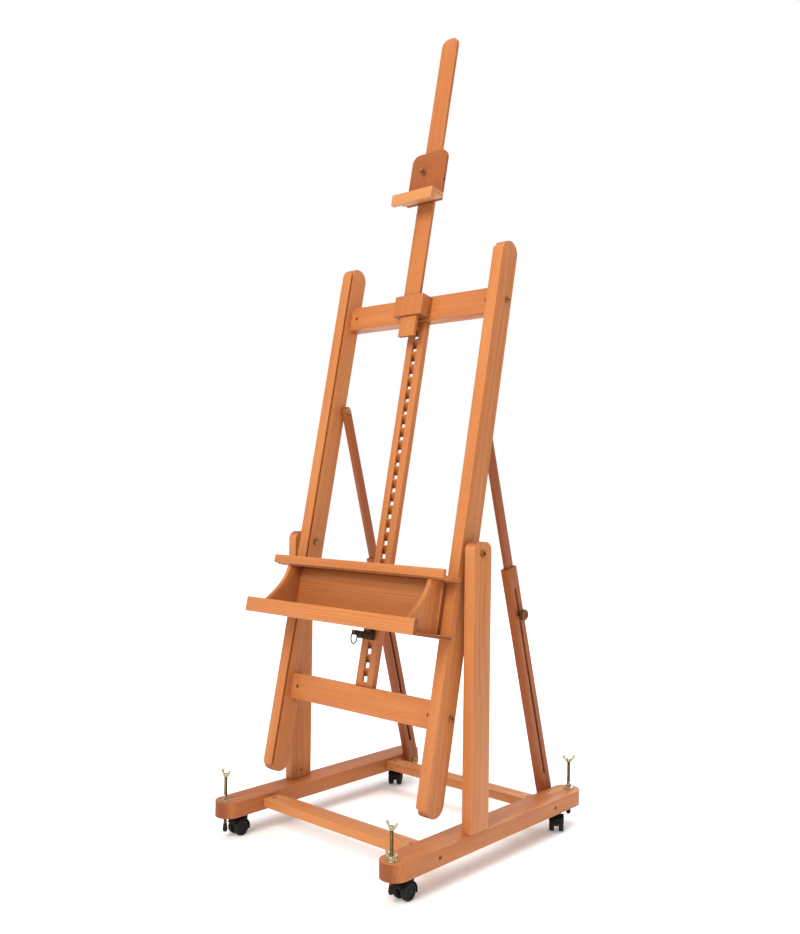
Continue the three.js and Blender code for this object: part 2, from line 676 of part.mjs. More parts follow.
// Pawl: a flat lever on an upright pin, with a tooth that stops just short of the mast.
function pawl() {
  const [low, high] = PAWL_Z;
  const outline = new THREE.Shape();
  outline.moveTo(RING_X - 6, high);
  outline.lineTo(RING_X - 6, high - 12);
  outline.lineTo(-40, high - 12);
  outline.quadraticCurveTo(-37, low, -31, low);
  outline.lineTo(PAWL_PIN_X + 4, low);
  outline.lineTo(PAWL_PIN_X + 4, high);
  outline.closePath();
  const pin = rodZ(PAWL_PIN_R, PAWL_PIN_X, -PAWL_T / 2, [low + 1, SLEEVE_Z[0] + 15], 16);
  return cut(
    join(
      slabY(outline, PAWL_Y),
      box([-4, 6], [PAWL_Y[1] - 1, RATCHET_Y[0] - SLIDE_GAP], [low, high - 2]),
      rodZ(4.2, PAWL_PIN_X, -PAWL_T / 2, [low, high + 4], 20),
      pin),
    rodY(RING_HOLE_R, RING_X, [PAWL_Y[0] - 1, PAWL_Y[1] + 1], RING_HOLE_Z, 20));
}

// Pull ring: a wire ring that hangs plumb from the lever's end.
function pullRing() {
  const ring = new THREE.TorusGeometry(RING_R, WIRE_R, 8, 32);
  return ring.rotateY(Math.PI / 2).translate(0, 0, -RING_R).rotateZ(RING_TWIST);
}

function buildTray() {
  const floorWidth = centred(TRAY_W);
  place(frame, 'canvas_ledge',
    box(centred(LEDGE_W), [LEDGE_FRONT, TRAY_BACK], [LEDGE_LOW, LEDGE_TOP]), beech);
  place(frame, 'canvas_lip',
    box(centred(LEDGE_W), [LEDGE_FRONT - GAP - LIP_T, LEDGE_FRONT - GAP], LIP_Z), beech);
  place(frame, 'tray_back',
    box(centred(PANEL_W), [PANEL_FRONT, TRAY_BACK], [FLOOR_TOP + GAP, LEDGE_LOW - GAP]), beech);
  place(frame, 'tray_floor',
    box(floorWidth, [LIP_BACK + GAP, TRAY_BACK], [TRAY_LOW, FLOOR_TOP]), beech);
  place(frame, 'tray_lip',
    box(floorWidth, [TRAY_FRONT, LIP_BACK], [TRAY_LOW, TRAY_LIP_TOP]), beech);
  for (const [word, side] of SIDES) {
    place(frame, `tray_bracket_${word}`, trayBracket(side), beech);
  }
  place(frame, 'tray_guide_sleeve', guideSleeve(), beech);
  place(frame, 'pawl', pawl(), bronze);
  const ring = place(frame, 'pawl_ring', pullRing(), bronze);
  ring.position.set(RING_X, -PAWL_T / 2, RING_HOLE_Z);
  ring.rotation.x = LEAN;
}

// ---------------------------------------------------------------- stays

const STAY_MIDDLE = STAY_OUT - STAY_W / 2;

// Stay channel: a hollow wooden rail, open at the top, slotted through both sides for the knob.
function stayChannel(side) {
  const half = STAY_D / 2;
  const outline = new THREE.Shape();
  outline.moveTo(half, STAY_TOP);
  outline.lineTo(-half, STAY_TOP);
  outline.lineTo(-half, 0);
  outline.absarc(0, 0, half, Math.PI, 2 * Math.PI, false);
  outline.closePath();
  const across = sided(side, STAY_OUT - STAY_W, STAY_OUT);
  const beyond = [across[0] - 1, across[1] + 1];
  const cavity = sided(side, STAY_MIDDLE - STAY_CAVITY_W / 2, STAY_MIDDLE + STAY_CAVITY_W / 2);
  const slot = roundEnded(STAY_SLOT_D, STAY_SLOT[0], STAY_SLOT[1]);
  return cut(
    slabX(outline, across, 12),
    box(cavity, centred(STAY_CAVITY_D), [STAY_CAVITY_LOW, STAY_TOP + 1]),
    slabX(slot, beyond, 6),
    rodX(HOLE_R, beyond, 0, 0));
}

// Stay bar: slides in the channel, with a rounded upper end beside the stile.
function stayBar(side) {
  const r = STAY_BAR_D / 2;
  const outline = new THREE.Shape();
  outline.moveTo(-r, STAY_BAR_Z[0]);
  outline.lineTo(r, STAY_BAR_Z[0]);
  outline.lineTo(r, STAY_BAR_Z[1]);
  outline.absarc(0, STAY_BAR_Z[1], r, 0, Math.PI, false);
  outline.closePath();
  const across = sided(side, STAY_MIDDLE - STAY_BAR_W / 2, STAY_MIDDLE + STAY_BAR_W / 2);
  const beyond = [across[0] - 1, across[1] + 1];
  return cut(
    slabX(outline, across, 12),
    rodX(3.4, beyond, 0, STAY_KNOB_Z, 16),
    rodX(HOLE_R, beyond, 0, STAY_BAR_Z[1], 16));
}

// Stay knob: a round knob outside the channel on a screw that crosses the slot and the bar.
function stayKnob(side) {
  return join(
    rodX(13, sided(side, STAY_OUT + 9, STAY_OUT + 19), 0, 0, 28),
    rodX(7, sided(side, STAY_OUT + GAP, STAY_OUT + 10), 0, 0, 24),
    rodX(3, sided(side, STAY_OUT - STAY_W - 5, STAY_OUT + 4), 0, 0, 16),
    rodX(8, sided(side, STAY_OUT - STAY_W - 6, STAY_OUT - STAY_W - GAP), 0, 0, 6));
}

function stayFootBolt(side) {
  return join(
    rodX(SHANK_R, sided(side, STAY_OUT - STAY_W - 2, RAIL_IN + 22), 0, 0, 20),
    rodX(9, sided(side, STAY_OUT - STAY_W - 5, STAY_OUT - STAY_W - GAP), 0, 0, 28));
}

function buildStays() {
  for (const [word, side] of SIDES) {
    place(easel, `stay_foot_bolt_${word}`, stayFootBolt(side), brass)
      .position.set(0, STAY_Y, STAY_Z);
    const stay = new THREE.Group();
    stay.position.set(0, STAY_Y, STAY_Z);
    stay.rotation.x = STAY_LEAN;
    easel.add(stay);
    place(stay, `stay_channel_${word}`, stayChannel(side), beech);
    place(stay, `stay_bar_${word}`, stayBar(side), beech);
    place(stay, `stay_knob_${word}`, stayKnob(side), brass).position.z = STAY_KNOB_Z;
  }
}

buildBase();
buildFrame();
buildTopMast();
buildTray();
buildStays();

export default easel;
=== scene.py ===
"""The looks of a wooden studio easel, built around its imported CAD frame. Metres, +Z up, front faces -Y."""

import json
import math
import random

import bmesh
import bpy
from mathutils import Matrix, Vector

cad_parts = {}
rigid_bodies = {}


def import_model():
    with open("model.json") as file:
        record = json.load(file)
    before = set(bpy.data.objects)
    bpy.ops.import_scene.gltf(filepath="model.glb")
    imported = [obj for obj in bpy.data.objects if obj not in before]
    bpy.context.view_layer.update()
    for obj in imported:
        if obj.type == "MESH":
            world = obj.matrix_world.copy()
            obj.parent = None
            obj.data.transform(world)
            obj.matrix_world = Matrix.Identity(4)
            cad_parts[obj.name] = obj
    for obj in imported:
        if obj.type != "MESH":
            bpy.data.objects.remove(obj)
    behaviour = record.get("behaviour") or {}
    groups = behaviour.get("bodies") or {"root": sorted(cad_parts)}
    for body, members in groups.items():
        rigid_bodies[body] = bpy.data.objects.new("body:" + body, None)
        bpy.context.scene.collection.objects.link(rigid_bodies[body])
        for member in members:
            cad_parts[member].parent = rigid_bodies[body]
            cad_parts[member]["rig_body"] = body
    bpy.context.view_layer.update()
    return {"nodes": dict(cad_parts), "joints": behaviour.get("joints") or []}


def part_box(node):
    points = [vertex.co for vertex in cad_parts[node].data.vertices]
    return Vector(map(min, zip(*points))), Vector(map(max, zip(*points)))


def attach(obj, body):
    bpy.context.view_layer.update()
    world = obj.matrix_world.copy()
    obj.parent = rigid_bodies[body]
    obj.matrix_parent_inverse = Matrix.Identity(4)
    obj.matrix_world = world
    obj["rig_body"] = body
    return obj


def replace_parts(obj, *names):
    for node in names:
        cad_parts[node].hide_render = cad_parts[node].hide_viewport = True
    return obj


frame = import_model()

MM = 0.001
TAU = 2 * math.pi
JOINTS = {j["name"]: j for j in frame["joints"]}
SIDES = (("left", -1), ("right", 1))
ENDS = (("front", -1), ("rear", 1))


# ---------------------------------------------------------------- frames of reference

def upright_frame(origin, up):
    """A matrix whose X is the row's X, whose Z is up and whose origin is at the given point."""
    z = Vector(up).normalized()
    x = Vector((1, 0, 0))
    y = z.cross(x)
    m = Matrix((x, y, z)).transposed().to_4x4()
    m.translation = Vector(origin)
    return m


PIVOT = JOINTS["frame_tilt"]["pos_m"]
FRAME = upright_frame(PIVOT, JOINTS["tray_slide"]["axis"])
STAYS = {
    side: upright_frame([0, *JOINTS[f"stay_fold_{side}"]["pos_m"][1:]], JOINTS[f"stay_extend_{side}"]["axis"])
    for side, _ in SIDES
}
BASE = Matrix.Identity(4)


def local_box(node, matrix):
    """A node's lowest and highest corners, seen in a frame of reference."""
    inverse = matrix.inverted()
    points = [inverse @ v.co for v in frame["nodes"][node].data.vertices]
    low = Vector([min(p[i] for p in points) for i in range(3)])
    high = Vector([max(p[i] for p in points) for i in range(3)])
    return low, high


# ---------------------------------------------------------------- node helpers

class Nodes:
    """A material's node tree, with short calls for its nodes."""

    def __init__(self, name):
        self.material = bpy.data.materials.new(name)
        self.material.use_nodes = True
        self.tree = self.material.node_tree
        self.shader = self.tree.nodes["Principled BSDF"]

    def add(self, kind, **values):
        node = self.tree.nodes.new(kind)
        for key, value in values.items():
            setattr(node, key, value)
        return node

    def feed(self, socket, value):
        if hasattr(value, "is_output"):
            self.tree.links.new(value, socket)
        else:
            socket.default_value = value

    def math(self, operation, a, b=0.0, clamp=False):
        node = self.add("ShaderNodeMath", operation=operation, use_clamp=clamp)
        self.feed(node.inputs[0], a)
        self.feed(node.inputs[1], b)
        return node.outputs[0]

    def weighed(self, *terms):
        """The sum of values, each times its weight."""
        total = 0.0
        for value, weight in terms:
            node = self.add("ShaderNodeMath", operation="MULTIPLY_ADD")
            self.feed(node.inputs[0], value)
            node.inputs[1].default_value = weight
            self.feed(node.inputs[2], total)
            total = node.outputs[0]
        return total

    def mix(self, factor, a, b, blend="MIX"):
        node = self.add("ShaderNodeMix", data_type="RGBA", blend_type=blend)
        self.feed(node.inputs["Factor"], factor)
        self.feed(node.inputs[6], a)
        self.feed(node.inputs[7], b)
        return node.outputs[2]

    def stretch(self, vector, scale, location=(0, 0, 0)):
        node = self.add("ShaderNodeMapping")
        self.feed(node.inputs["Vector"], vector)
        node.inputs["Scale"].default_value = scale
        node.inputs["Location"].default_value = location
        return node.outputs[0]

    def noise(self, vector, scale=1.0, detail=3.0, roughness=0.55, distortion=0.0):
        node = self.add("ShaderNodeTexNoise")
        self.feed(node.inputs["Vector"], vector)
        node.inputs["Scale"].default_value = scale
        node.inputs["Detail"].default_value = detail
        node.inputs["Roughness"].default_value = roughness
        node.inputs["Distortion"].default_value = distortion
        return node.outputs["Fac"]

    def ranged(self, value, low, high, to_low=0.0, to_high=1.0):
        node = self.add("ShaderNodeMapRange", clamp=True)
        self.feed(node.inputs["Value"], value)
        node.inputs["From Min"].default_value = low
        node.inputs["From Max"].default_value = high
        node.inputs["To Min"].default_value = to_low
        node.inputs["To Max"].default_value = to_high
        return node.outputs[0]

    def bump(self, height, strength, distance):
        node = self.add("ShaderNodeBump")
        node.inputs["Strength"].default_value = strength
        node.inputs["Distance"].default_value = distance
        self.feed(node.inputs["Height"], height)
        self.feed(self.shader.inputs["Normal"], node.outputs[0])

    def set(self, **values):
        for key, value in values.items():
            self.feed(self.shader.inputs[key.replace("_", " ")], value)


def rgb(r, g, b):
    return (r, g, b, 1.0)


# ---------------------------------------------------------------- materials

def wood(name, light, dark, fleck, deep):
    """Oiled beech. The 'grain' attribute holds each point's place in its board, with X along the grain."""
    n = Nodes(name)
    grain = n.add("ShaderNodeAttribute", attribute_name="grain").outputs["Vector"]
    end = n.add("ShaderNodeAttribute", attribute_name="end_grain").outputs["Fac"]
    edge_highlight = n.add("ShaderNodeAttribute", attribute_name="eased_edge_highlight").outputs["Fac"]
    tone = n.add("ShaderNodeAttribute", attribute_name="tone").outputs["Fac"]
    # growth rings around a pith that lies outside the board, drawn out along the grain
    rings = n.add("ShaderNodeTexWave", wave_type="RINGS", rings_direction="X", wave_profile="SIN")
    n.feed(rings.inputs["Vector"], n.stretch(grain, (0.14, 1, 1)))
    rings.inputs["Scale"].default_value = 62.0
    rings.inputs["Distortion"].default_value = 7.5
    rings.inputs["Detail"].default_value = 2.0
    rings.inputs["Detail Scale"].default_value = 0.28
    rings.inputs["Detail Roughness"].default_value = 0.5
    clouds = n.noise(n.stretch(grain, (1.6, 11, 11)), 1.0, 2.0)
    streaks = n.noise(n.stretch(grain, (5, 120, 120)), 1.0, 4.0, 0.65)
    fibres = n.noise(n.stretch(grain, (45, 1700, 1700)), 1.0, 3.0, 0.6)
    flecks = n.add("ShaderNodeTexVoronoi", feature="F1")
    n.feed(flecks.inputs["Vector"], n.stretch(grain, (190, 1250, 1250)))
    dash = n.ranged(flecks.outputs["Distance"], 0.12, 0.3, 1.0, 0.0)
    depth = n.weighed((rings.outputs["Fac"], 0.17), (clouds, 0.62), (streaks, 0.42), (tone, -0.55))
    colour = n.mix(n.ranged(depth, 0.3, 0.92), light, dark)
    colour = n.mix(n.math("MULTIPLY", dash, 0.34), colour, fleck)
    colour = n.mix(n.ranged(fibres, 0.35, 0.7, 0.0, 0.14), colour, fleck)
    colour = n.mix(n.ranged(tone, 0.0, -1.0, 0.0, 0.62), colour, deep)
    colour = n.mix(n.math("MULTIPLY", end, 0.78), colour, deep)
    # painted highlight: the faces on the eased edges are drawn lighter, as if they caught the light
    colour = n.mix(n.math("MULTIPLY", edge_highlight, 0.2), colour, light)
    n.set(Base_Color=colour)
    n.set(Roughness=n.weighed((fibres, 0.16), (end, 0.16), (1.0, 0.33)))
    n.set(Specular_IOR_Level=0.24, Coat_Weight=0.04, Coat_Roughness=0.34)
    n.bump(n.weighed((streaks, 0.5), (fibres, 1.0)), 0.12, 0.0006)
    return n.material


def metal(name, colour, tarnish, roughness, scratches=0.1):
    """A turned or cast metal with tarnish in patches and fine handling marks."""
    n = Nodes(name)
    place = n.add("ShaderNodeTexCoord").outputs["Object"]
    patches = n.noise(place, 95.0, 4.0, 0.6)
    fine = n.noise(n.stretch(place, (900, 900, 2600)), 1.0, 3.0, 0.7)
    stain = n.ranged(patches, 0.4, 0.68)
    n.set(Base_Color=n.mix(n.math("MULTIPLY", stain, 0.6), colour, tarnish))
    rough = n.math("MULTIPLY_ADD", stain, 0.16)
    n.feed(rough.node.inputs[2], n.ranged(fine, 0.3, 0.7, roughness - scratches / 2, roughness + scratches))
    n.set(Roughness=rough, Metallic=1.0)
    n.bump(n.math("ADD", fine, patches), 0.08, 0.0002)
    return n.material


def plastic(name, colour, dusty, roughness, grain=900.0):
    """Moulded plastic or rubber with a fine texture and a little dust."""
    n = Nodes(name)
    place = n.add("ShaderNodeTexCoord").outputs["Object"]
    fine = n.noise(place, grain, 2.0)
    dust = n.ranged(n.noise(place, 38.0, 4.0, 0.65), 0.45, 0.75)
    n.set(Base_Color=n.mix(n.math("MULTIPLY", dust, 0.35), colour, dusty))
    n.set(Roughness=n.ranged(fine, 0.3, 0.7, roughness - 0.06, roughness + 0.1), Specular_IOR_Level=0.22)
    n.bump(fine, 0.18, 0.0003)
    return n.material


BEECH = wood("oiled_beech", rgb(0.53, 0.20, 0.062), rgb(0.345, 0.096, 0.024), rgb(0.19, 0.04, 0.009),
             rgb(0.17, 0.036, 0.01))
PALE_BEECH = wood("pale_oiled_beech", rgb(0.61, 0.285, 0.112), rgb(0.44, 0.17, 0.056), rgb(0.26, 0.08, 0.022),
                  rgb(0.26, 0.085, 0.025))
BRASS = metal("tarnished_brass", rgb(0.38, 0.22, 0.075), rgb(0.14, 0.068, 0.024), 0.33)
KNOB_BRONZE = metal("reddish_bronze", rgb(0.19, 0.08, 0.026), rgb(0.055, 0.026, 0.012), 0.34)
PALE_BRASS = metal("plated_brass", rgb(0.52, 0.44, 0.30), rgb(0.24, 0.18, 0.10), 0.3)
THREAD = metal("plated_thread", rgb(0.20, 0.15, 0.06), rgb(0.08, 0.052, 0.022), 0.4)
DARK_BRONZE = metal("dark_bronze", rgb(0.06, 0.036, 0.024), rgb(0.025, 0.016, 0.012), 0.38)
BLACK = plastic("black_plastic", rgb(0.006, 0.006, 0.006), rgb(0.018, 0.017, 0.016), 0.5)
TREAD = plastic("wheel_tread", rgb(0.007, 0.007, 0.007), rgb(0.028, 0.026, 0.024), 0.62, 1500.0)
RUBBER = plastic("black_rubber", rgb(0.006, 0.006, 0.006), rgb(0.024, 0.022, 0.02), 0.66, 1500.0)


# ---------------------------------------------------------------- mesh helpers

def link(name, mesh, material, body, matrix=BASE, smooth=40):
    """A new piece that rides on a body."""
    obj = bpy.data.objects.new(name, mesh)
    bpy.context.scene.collection.objects.link(obj)
    obj.matrix_world = matrix
    if not mesh.materials:
        mesh.materials.append(material)
    if smooth:
        mesh.shade_smooth()
        mesh.set_sharp_from_angle(angle=math.radians(smooth))
    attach(obj, body)
    return obj


def to_mesh(bm, name):
    bmesh.ops.recalc_face_normals(bm, faces=bm.faces)
    mesh = bpy.data.meshes.new(name)
    bm.to_mesh(mesh)
    bm.free()
    return mesh


def baked(obj):
    """Applies an object's modifiers to its mesh."""
    bpy.context.view_layer.update()
    evaluated = obj.evaluated_get(bpy.context.evaluated_depsgraph_get())
    mesh = bpy.data.meshes.new_from_object(evaluated)
    obj.modifiers.clear()
    obj.data = mesh
    return obj


def eased(mesh, width, segments=2, angle=28):
    """The same mesh with its edges rounded over. Faces on the rounding have material index 1."""
    obj = bpy.data.objects.new("easing", mesh)
    bpy.context.scene.collection.objects.link(obj)
    mesh.materials.clear()
    mesh.materials.append(BEECH)
    mesh.materials.append(PALE_BEECH)
    bevel = obj.modifiers.new("easing", "BEVEL")
    bevel.width = width
    bevel.segments = segments
    bevel.limit_method = "ANGLE"
    bevel.angle_limit = math.radians(angle)
    bevel.use_clamp_overlap = True
    bevel.material = 1
    bevel.miter_outer = "MITER_ARC"
    baked(obj)
    result = obj.data
    bpy.data.objects.remove(obj)
    return result


def clean_copy(node):
    """A CAD node's mesh with its flat faces whole again, instead of triangles."""
    bm = bmesh.new()
    bm.from_mesh(frame["nodes"][node].data)
    bmesh.ops.remove_doubles(bm, verts=bm.verts, dist=2e-6)
    bmesh.ops.dissolve_limit(bm, angle_limit=math.radians(0.8), verts=bm.verts, edges=bm.edges)
    return to_mesh(bm, node)


def face_attribute(mesh, name, values):
    attribute = mesh.attributes.new(name, "FLOAT", "FACE")
    attribute.data.foreach_set("value", values)


def grain_attributes(mesh, matrix, along, seed, tone, end):
    """Writes where each point lies in its board, its tone, which faces show end grain, and which faces are
    eased, whose colour gets a painted highlight.
    """
    rng = random.Random(seed)
    order = [along] + [i for i in range(3) if i != along]
    inverse = matrix.inverted()
    shift = Vector((rng.uniform(-9, 9), rng.uniform(0.035, 0.16),
                    rng.choice((-1, 1)) * rng.uniform(0.02, 0.12)))
    flat = []
    for v in mesh.vertices:
        p = inverse @ v.co
        flat.extend((p[order[0]] + shift.x, p[order[1]] + shift.y, p[order[2]] + shift.z))
    mesh.attributes.new("grain", "FLOAT_VECTOR", "POINT").data.foreach_set("vector", flat)
    direction = matrix.to_3x3().col[along].normalized()
    cosines = [abs(p.normal.dot(direction)) for p in mesh.polygons]
    face_attribute(mesh, "end_grain", [end * min(1.0, max(0.0, (c - 0.45) / 0.45)) for c in cosines])
    face_attribute(mesh, "eased_edge_highlight", [float(p.material_index) for p in mesh.polygons])
    face_attribute(mesh, "tone", [tone + rng.uniform(-0.1, 0.1)] * len(mesh.polygons))


def wooden(mesh, node, matrix, along, tone=0.0, material=BEECH, slot="beech", end=1.0):
    """A finished mesh stands for a wooden CAD node, with its grain along one axis of a frame of reference."""
    grain_attributes(mesh, matrix, along, node, tone, end)
    mesh.materials.clear()
    mesh.materials.append(material)
    mesh.polygons.foreach_set("material_index", [0] * len(mesh.polygons))
    piece = link("wood_" + node, mesh, material, frame["nodes"][node]["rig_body"], smooth=32)
    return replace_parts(piece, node)


def board(node, matrix, along, width=1.6, segments=2, **looks):
    """A wooden CAD node, rebuilt with eased edges."""
    return wooden(eased(clean_copy(node), width * MM, segments), node, matrix, along, **looks)


# ---------------------------------------------------------------- wood

X, Y, Z = 0, 1, 2
TOOTH_PITCH, TOOTH_EDGE = 32.5 * MM, 2 * MM
TOOTH_TOP_SLOPE, TOOTH_UNDER_SLOPE = 0.15, 1.24
TOOTH_ZERO, LOWEST_TOOTH, HIGHEST_TOOTH = -222 * MM, -3, 24
TENON_L = 15.3 * MM


def prism(bm, outline, low, high, low_fall=0.0, high_fall=0.0, start=0.0):
    """A closed upright prism. Each end may fall towards the back by a slope, measured from y = start."""
    rings = []
    for z, fall in ((low, low_fall), (high, high_fall)):
        rings.append([bm.verts.new((x, y, z - fall * (y - start))) for x, y in outline])
    for i in range(len(outline)):
        j = (i + 1) % len(outline)
        bm.faces.new((rings[0][i], rings[0][j], rings[1][j], rings[1][i]))
    bm.faces.new(rings[0][::-1])
    bm.faces.new(rings[1])


def ratchet_mast():
    """Two strips with glued-in wedge-shaped teeth, which are narrow in front and wide behind."""
    low, high = local_box("ratchet_mast", FRAME)
    y0, y1, half = low.y, high.y, high.x
    z0, z1 = low.z + TENON_L, high.z - TENON_L
    step, narrow, wide, glue, recess = y0 + 5 * MM, 7.5 * MM, 15.5 * MM, 0.3 * MM, 0.25 * MM
    bm = bmesh.new()
    for side in (-1, 1):
        strip = [(narrow, y0), (half, y0), (half, y1), (wide, y1), (wide, step), (narrow, step)]
        prism(bm, [(side * x, y) for x, y in strip], z0, z1)
    a, b = narrow + glue, wide + glue
    tooth = [(-a, y0 + recess), (a, y0 + recess), (a, step), (b, step), (b, y1 - recess), (-b, y1 - recess),
             (-b, step), (-a, step)]
    for k in range(LOWEST_TOOTH, HIGHEST_TOOTH + 1):
        top = TOOTH_ZERO + k * TOOTH_PITCH
        if k == LOWEST_TOOTH:
            prism(bm, tooth, z0 + recess, top, 0.0, TOOTH_TOP_SLOPE, y0)
        elif k == HIGHEST_TOOTH:
            prism(bm, tooth, top - TOOTH_EDGE, z1 - recess, TOOTH_UNDER_SLOPE, 0.0, y0)
        else:
            prism(bm, tooth, top - TOOTH_EDGE, top, TOOTH_UNDER_SLOPE, TOOTH_TOP_SLOPE, y0)
    mesh = to_mesh(bm, "ratchet_mast")
    mesh.transform(FRAME)
    wooden(eased(mesh, 0.5 * MM), "ratchet_mast", FRAME, Z, 0.0)


PALE_END = 0.15  # freshly sawn ends, which took less oil

# each board's tone shifts its whole colour: the stays and the holder plate are drawn darker, the posts and
# cross rails lighter
for side, _ in SIDES:
    board(f"side_rail_{side}", BASE, Y, 3.0, 3, tone=-0.1)
    board(f"post_{side}", BASE, Z, 2.2, 3, tone=0.32)
    board(f"stile_{side}", FRAME, Z, 2.2, 3, tone=0.08)
    board(f"tray_bracket_{side}", FRAME, Z, 1.2, tone=0.25)
    board(f"stay_channel_{side}", STAYS[side], Z, 1.0, tone=-0.55)
    board(f"stay_bar_{side}", STAYS[side], Z, 1.2, tone=-0.6)
for node in ("front_cross_rail", "rear_cross_rail"):
    board(node, BASE, X, 2.0, tone=0.5)
for node in ("lower_crossbar", "upper_crossbar", "tray_back", "tray_floor", "tray_lip"):
    board(node, FRAME, X, 1.8)
for node in ("canvas_ledge", "canvas_lip"):
    board(node, FRAME, X, 1.8, end=PALE_END)
for node in ("top_mast", "mast_guide_block", "tray_guide_sleeve"):
    board(node, FRAME, Z, 1.2, tone=-0.12)
board("holder_plate", FRAME, Z, 1.2, tone=-0.6)
board("canvas_retainer", FRAME, X, 1.4, tone=-0.12, end=PALE_END, material=PALE_BEECH, slot="pale_beech")
ratchet_mast()


# ---------------------------------------------------------------- turned and cast fittings

def circle(radius, z, count=32):
    return [(radius * math.cos(TAU * i / count), radius * math.sin(TAU * i / count), z) for i in range(count)]


def hexagon(across, z, count=36):
    """A ring of points along a hexagon, given by its width across the flats."""
    points = []
    for i in range(count):
        angle = TAU * i / count
        radius = across / 2 / math.cos((angle + TAU / 12) % (TAU / 6) - TAU / 12)
        points.append((radius * math.cos(angle), radius * math.sin(angle), z))
    return points


def knurled(radius, z, depth, count=96):
    return [((radius - depth * (i % 2)) * math.cos(TAU * i / count),
             (radius - depth * (i % 2)) * math.sin(TAU * i / count), z) for i in range(count)]


def loft(rings, bm=None, matrix=BASE):
    """A closed skin through rings of points."""
    bm = bm or bmesh.new()
    before = None
    for ring in rings:
        verts = [bm.verts.new(matrix @ Vector(p)) for p in ring]
        if before:
            for i in range(len(verts)):
                j = (i + 1) % len(verts)
                bm.faces.new((before[i], before[j], verts[j], verts[i]))
        else:
            bm.faces.new(verts[::-1])
        before = verts
    bm.faces.new(before)
    return bm


def turned(profile, count=32, bm=None, matrix=BASE):
    """A turned piece along Z, from (radius, height) pairs in millimetres."""
    return loft([circle(max(r, 0.02) * MM, z * MM, count) for r, z in profile], bm, matrix)


def threaded(radius, low, high, pitch=1.25, bm=None, matrix=BASE):
    """A rod along Z with a screw thread, in millimetres."""
    count, steps = 20, int((high - low) / pitch * 4)
    rings = [circle((radius - 0.7) * MM, (low - 0.3) * MM, count)]
    for k in range(steps + 1):
        z = low + (high - low) * k / steps
        ring = []
        for i in range(count):
            phase = (z / pitch - i / count) % 1.0
            r = (radius - 0.62 * (1 - abs(2 * phase - 1))) * MM
            ring.append((r * math.cos(TAU * i / count), r * math.sin(TAU * i / count), z * MM))
        rings.append(ring)
    rings.append(circle((radius - 0.7) * MM, (high + 0.3) * MM, count))
    return loft(rings, bm, matrix)


def pointing(direction, origin):
    """A matrix that turns +Z to a direction, at an origin."""
    m = Vector(direction).to_track_quat("Z", "Y").to_matrix().to_4x4()
    m.translation = Vector(origin)
    return m


def fitting(name, bm, material, body, slot="brass", replaces=(), matrix=BASE, smooth=38, ease=0.0):
    mesh = to_mesh(bm, name)
    if ease:
        mesh = eased(mesh, ease * MM, 2, 35)
        mesh.materials.clear()
        mesh.polygons.foreach_set("material_index", [0] * len(mesh.polygons))
    piece = link(name, mesh, material, body, matrix, smooth)
    if replaces:
        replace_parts(piece, *replaces)
    return piece


def cast(bm, name, voxel=0.5, keep=0.3):
    """Overlapping solids melted into one casting with soft inner corners."""
    obj = bpy.data.objects.new("casting", to_mesh(bm, name))
    bpy.context.scene.collection.objects.link(obj)
    remesh = obj.modifiers.new("skin", "REMESH")
    remesh.mode = "VOXEL"
    remesh.voxel_size = voxel * MM
    soften = obj.modifiers.new("soften", "SMOOTH")
    soften.factor = 0.6
    soften.iterations = 5
    thin = obj.modifiers.new("thin", "DECIMATE")
    thin.ratio = keep
    baked(obj)
    mesh = obj.data
    bpy.data.objects.remove(obj)
    out = bmesh.new()
    out.from_mesh(mesh)
    return out


def wing_outline(hub, span, height):
    """One wing, drawn in X and Z: it sweeps out from the hub's foot and ends in a round lobe."""
    lobe = Vector((span * 0.86, height * 0.76))
    radius = min(span * 0.2, height * 0.22)
    points = [(hub * 0.2, 0.8), (hub * 0.9, height * 0.05), (span * 0.62, height * 0.2),
              (span * 0.88, height * 0.42)]
    for i in range(9):
        angle = math.radians(-55 + 28 * i)
        points.append((lobe.x + radius * math.cos(angle), lobe.y + radius * math.sin(angle)))
    points += [(span * 0.56, height * 0.5), (hub * 0.9, height * 0.34), (hub * 0.2, height * 0.36)]
    return [(x * MM, z * MM) for x, z in points]


WING_HALF_T = 1.7 * MM


def wing_head(hub, span, height, flange=0.0):
    """A cast wing head that stands on z = 0."""
    bm = turned([(hub, 0), (hub, height * 0.2), (hub * 0.78, height * 0.44)], 32)
    if flange:
        turned([(flange, 0), (flange, 1.2), (flange - 1.5, 2.2), (hub, 2.6)], 40, bm)
    for side in (-1, 1):
        outline = wing_outline(hub, span, height)
        loft([[(side * x, y, z) for x, z in outline] for y in (-WING_HALF_T, WING_HALF_T)], bm)
    return cast(bm, "wings")


def centre_of(node):
    low, high = (Vector(c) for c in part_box(node))
    return low, high, (low + high) / 2


def upright(x, y, z, turn=0.0):
    m = Matrix.Rotation(math.radians(turn), 4, "Z")
    m.translation = Vector((x, y, z))
    return m


# how far the turning fittings of each corner stand turned
SWIVELS = {"rear": 32.0, "front": 0.0}
SCREW_TURNS = {"rear_right": 42.0}
NUT_TURNS = {"front_left": -48.0, "rear_right": -48.0}
WING_H, FOOT_H, NUT_WING_H = 18.0, 20.0, 19.0


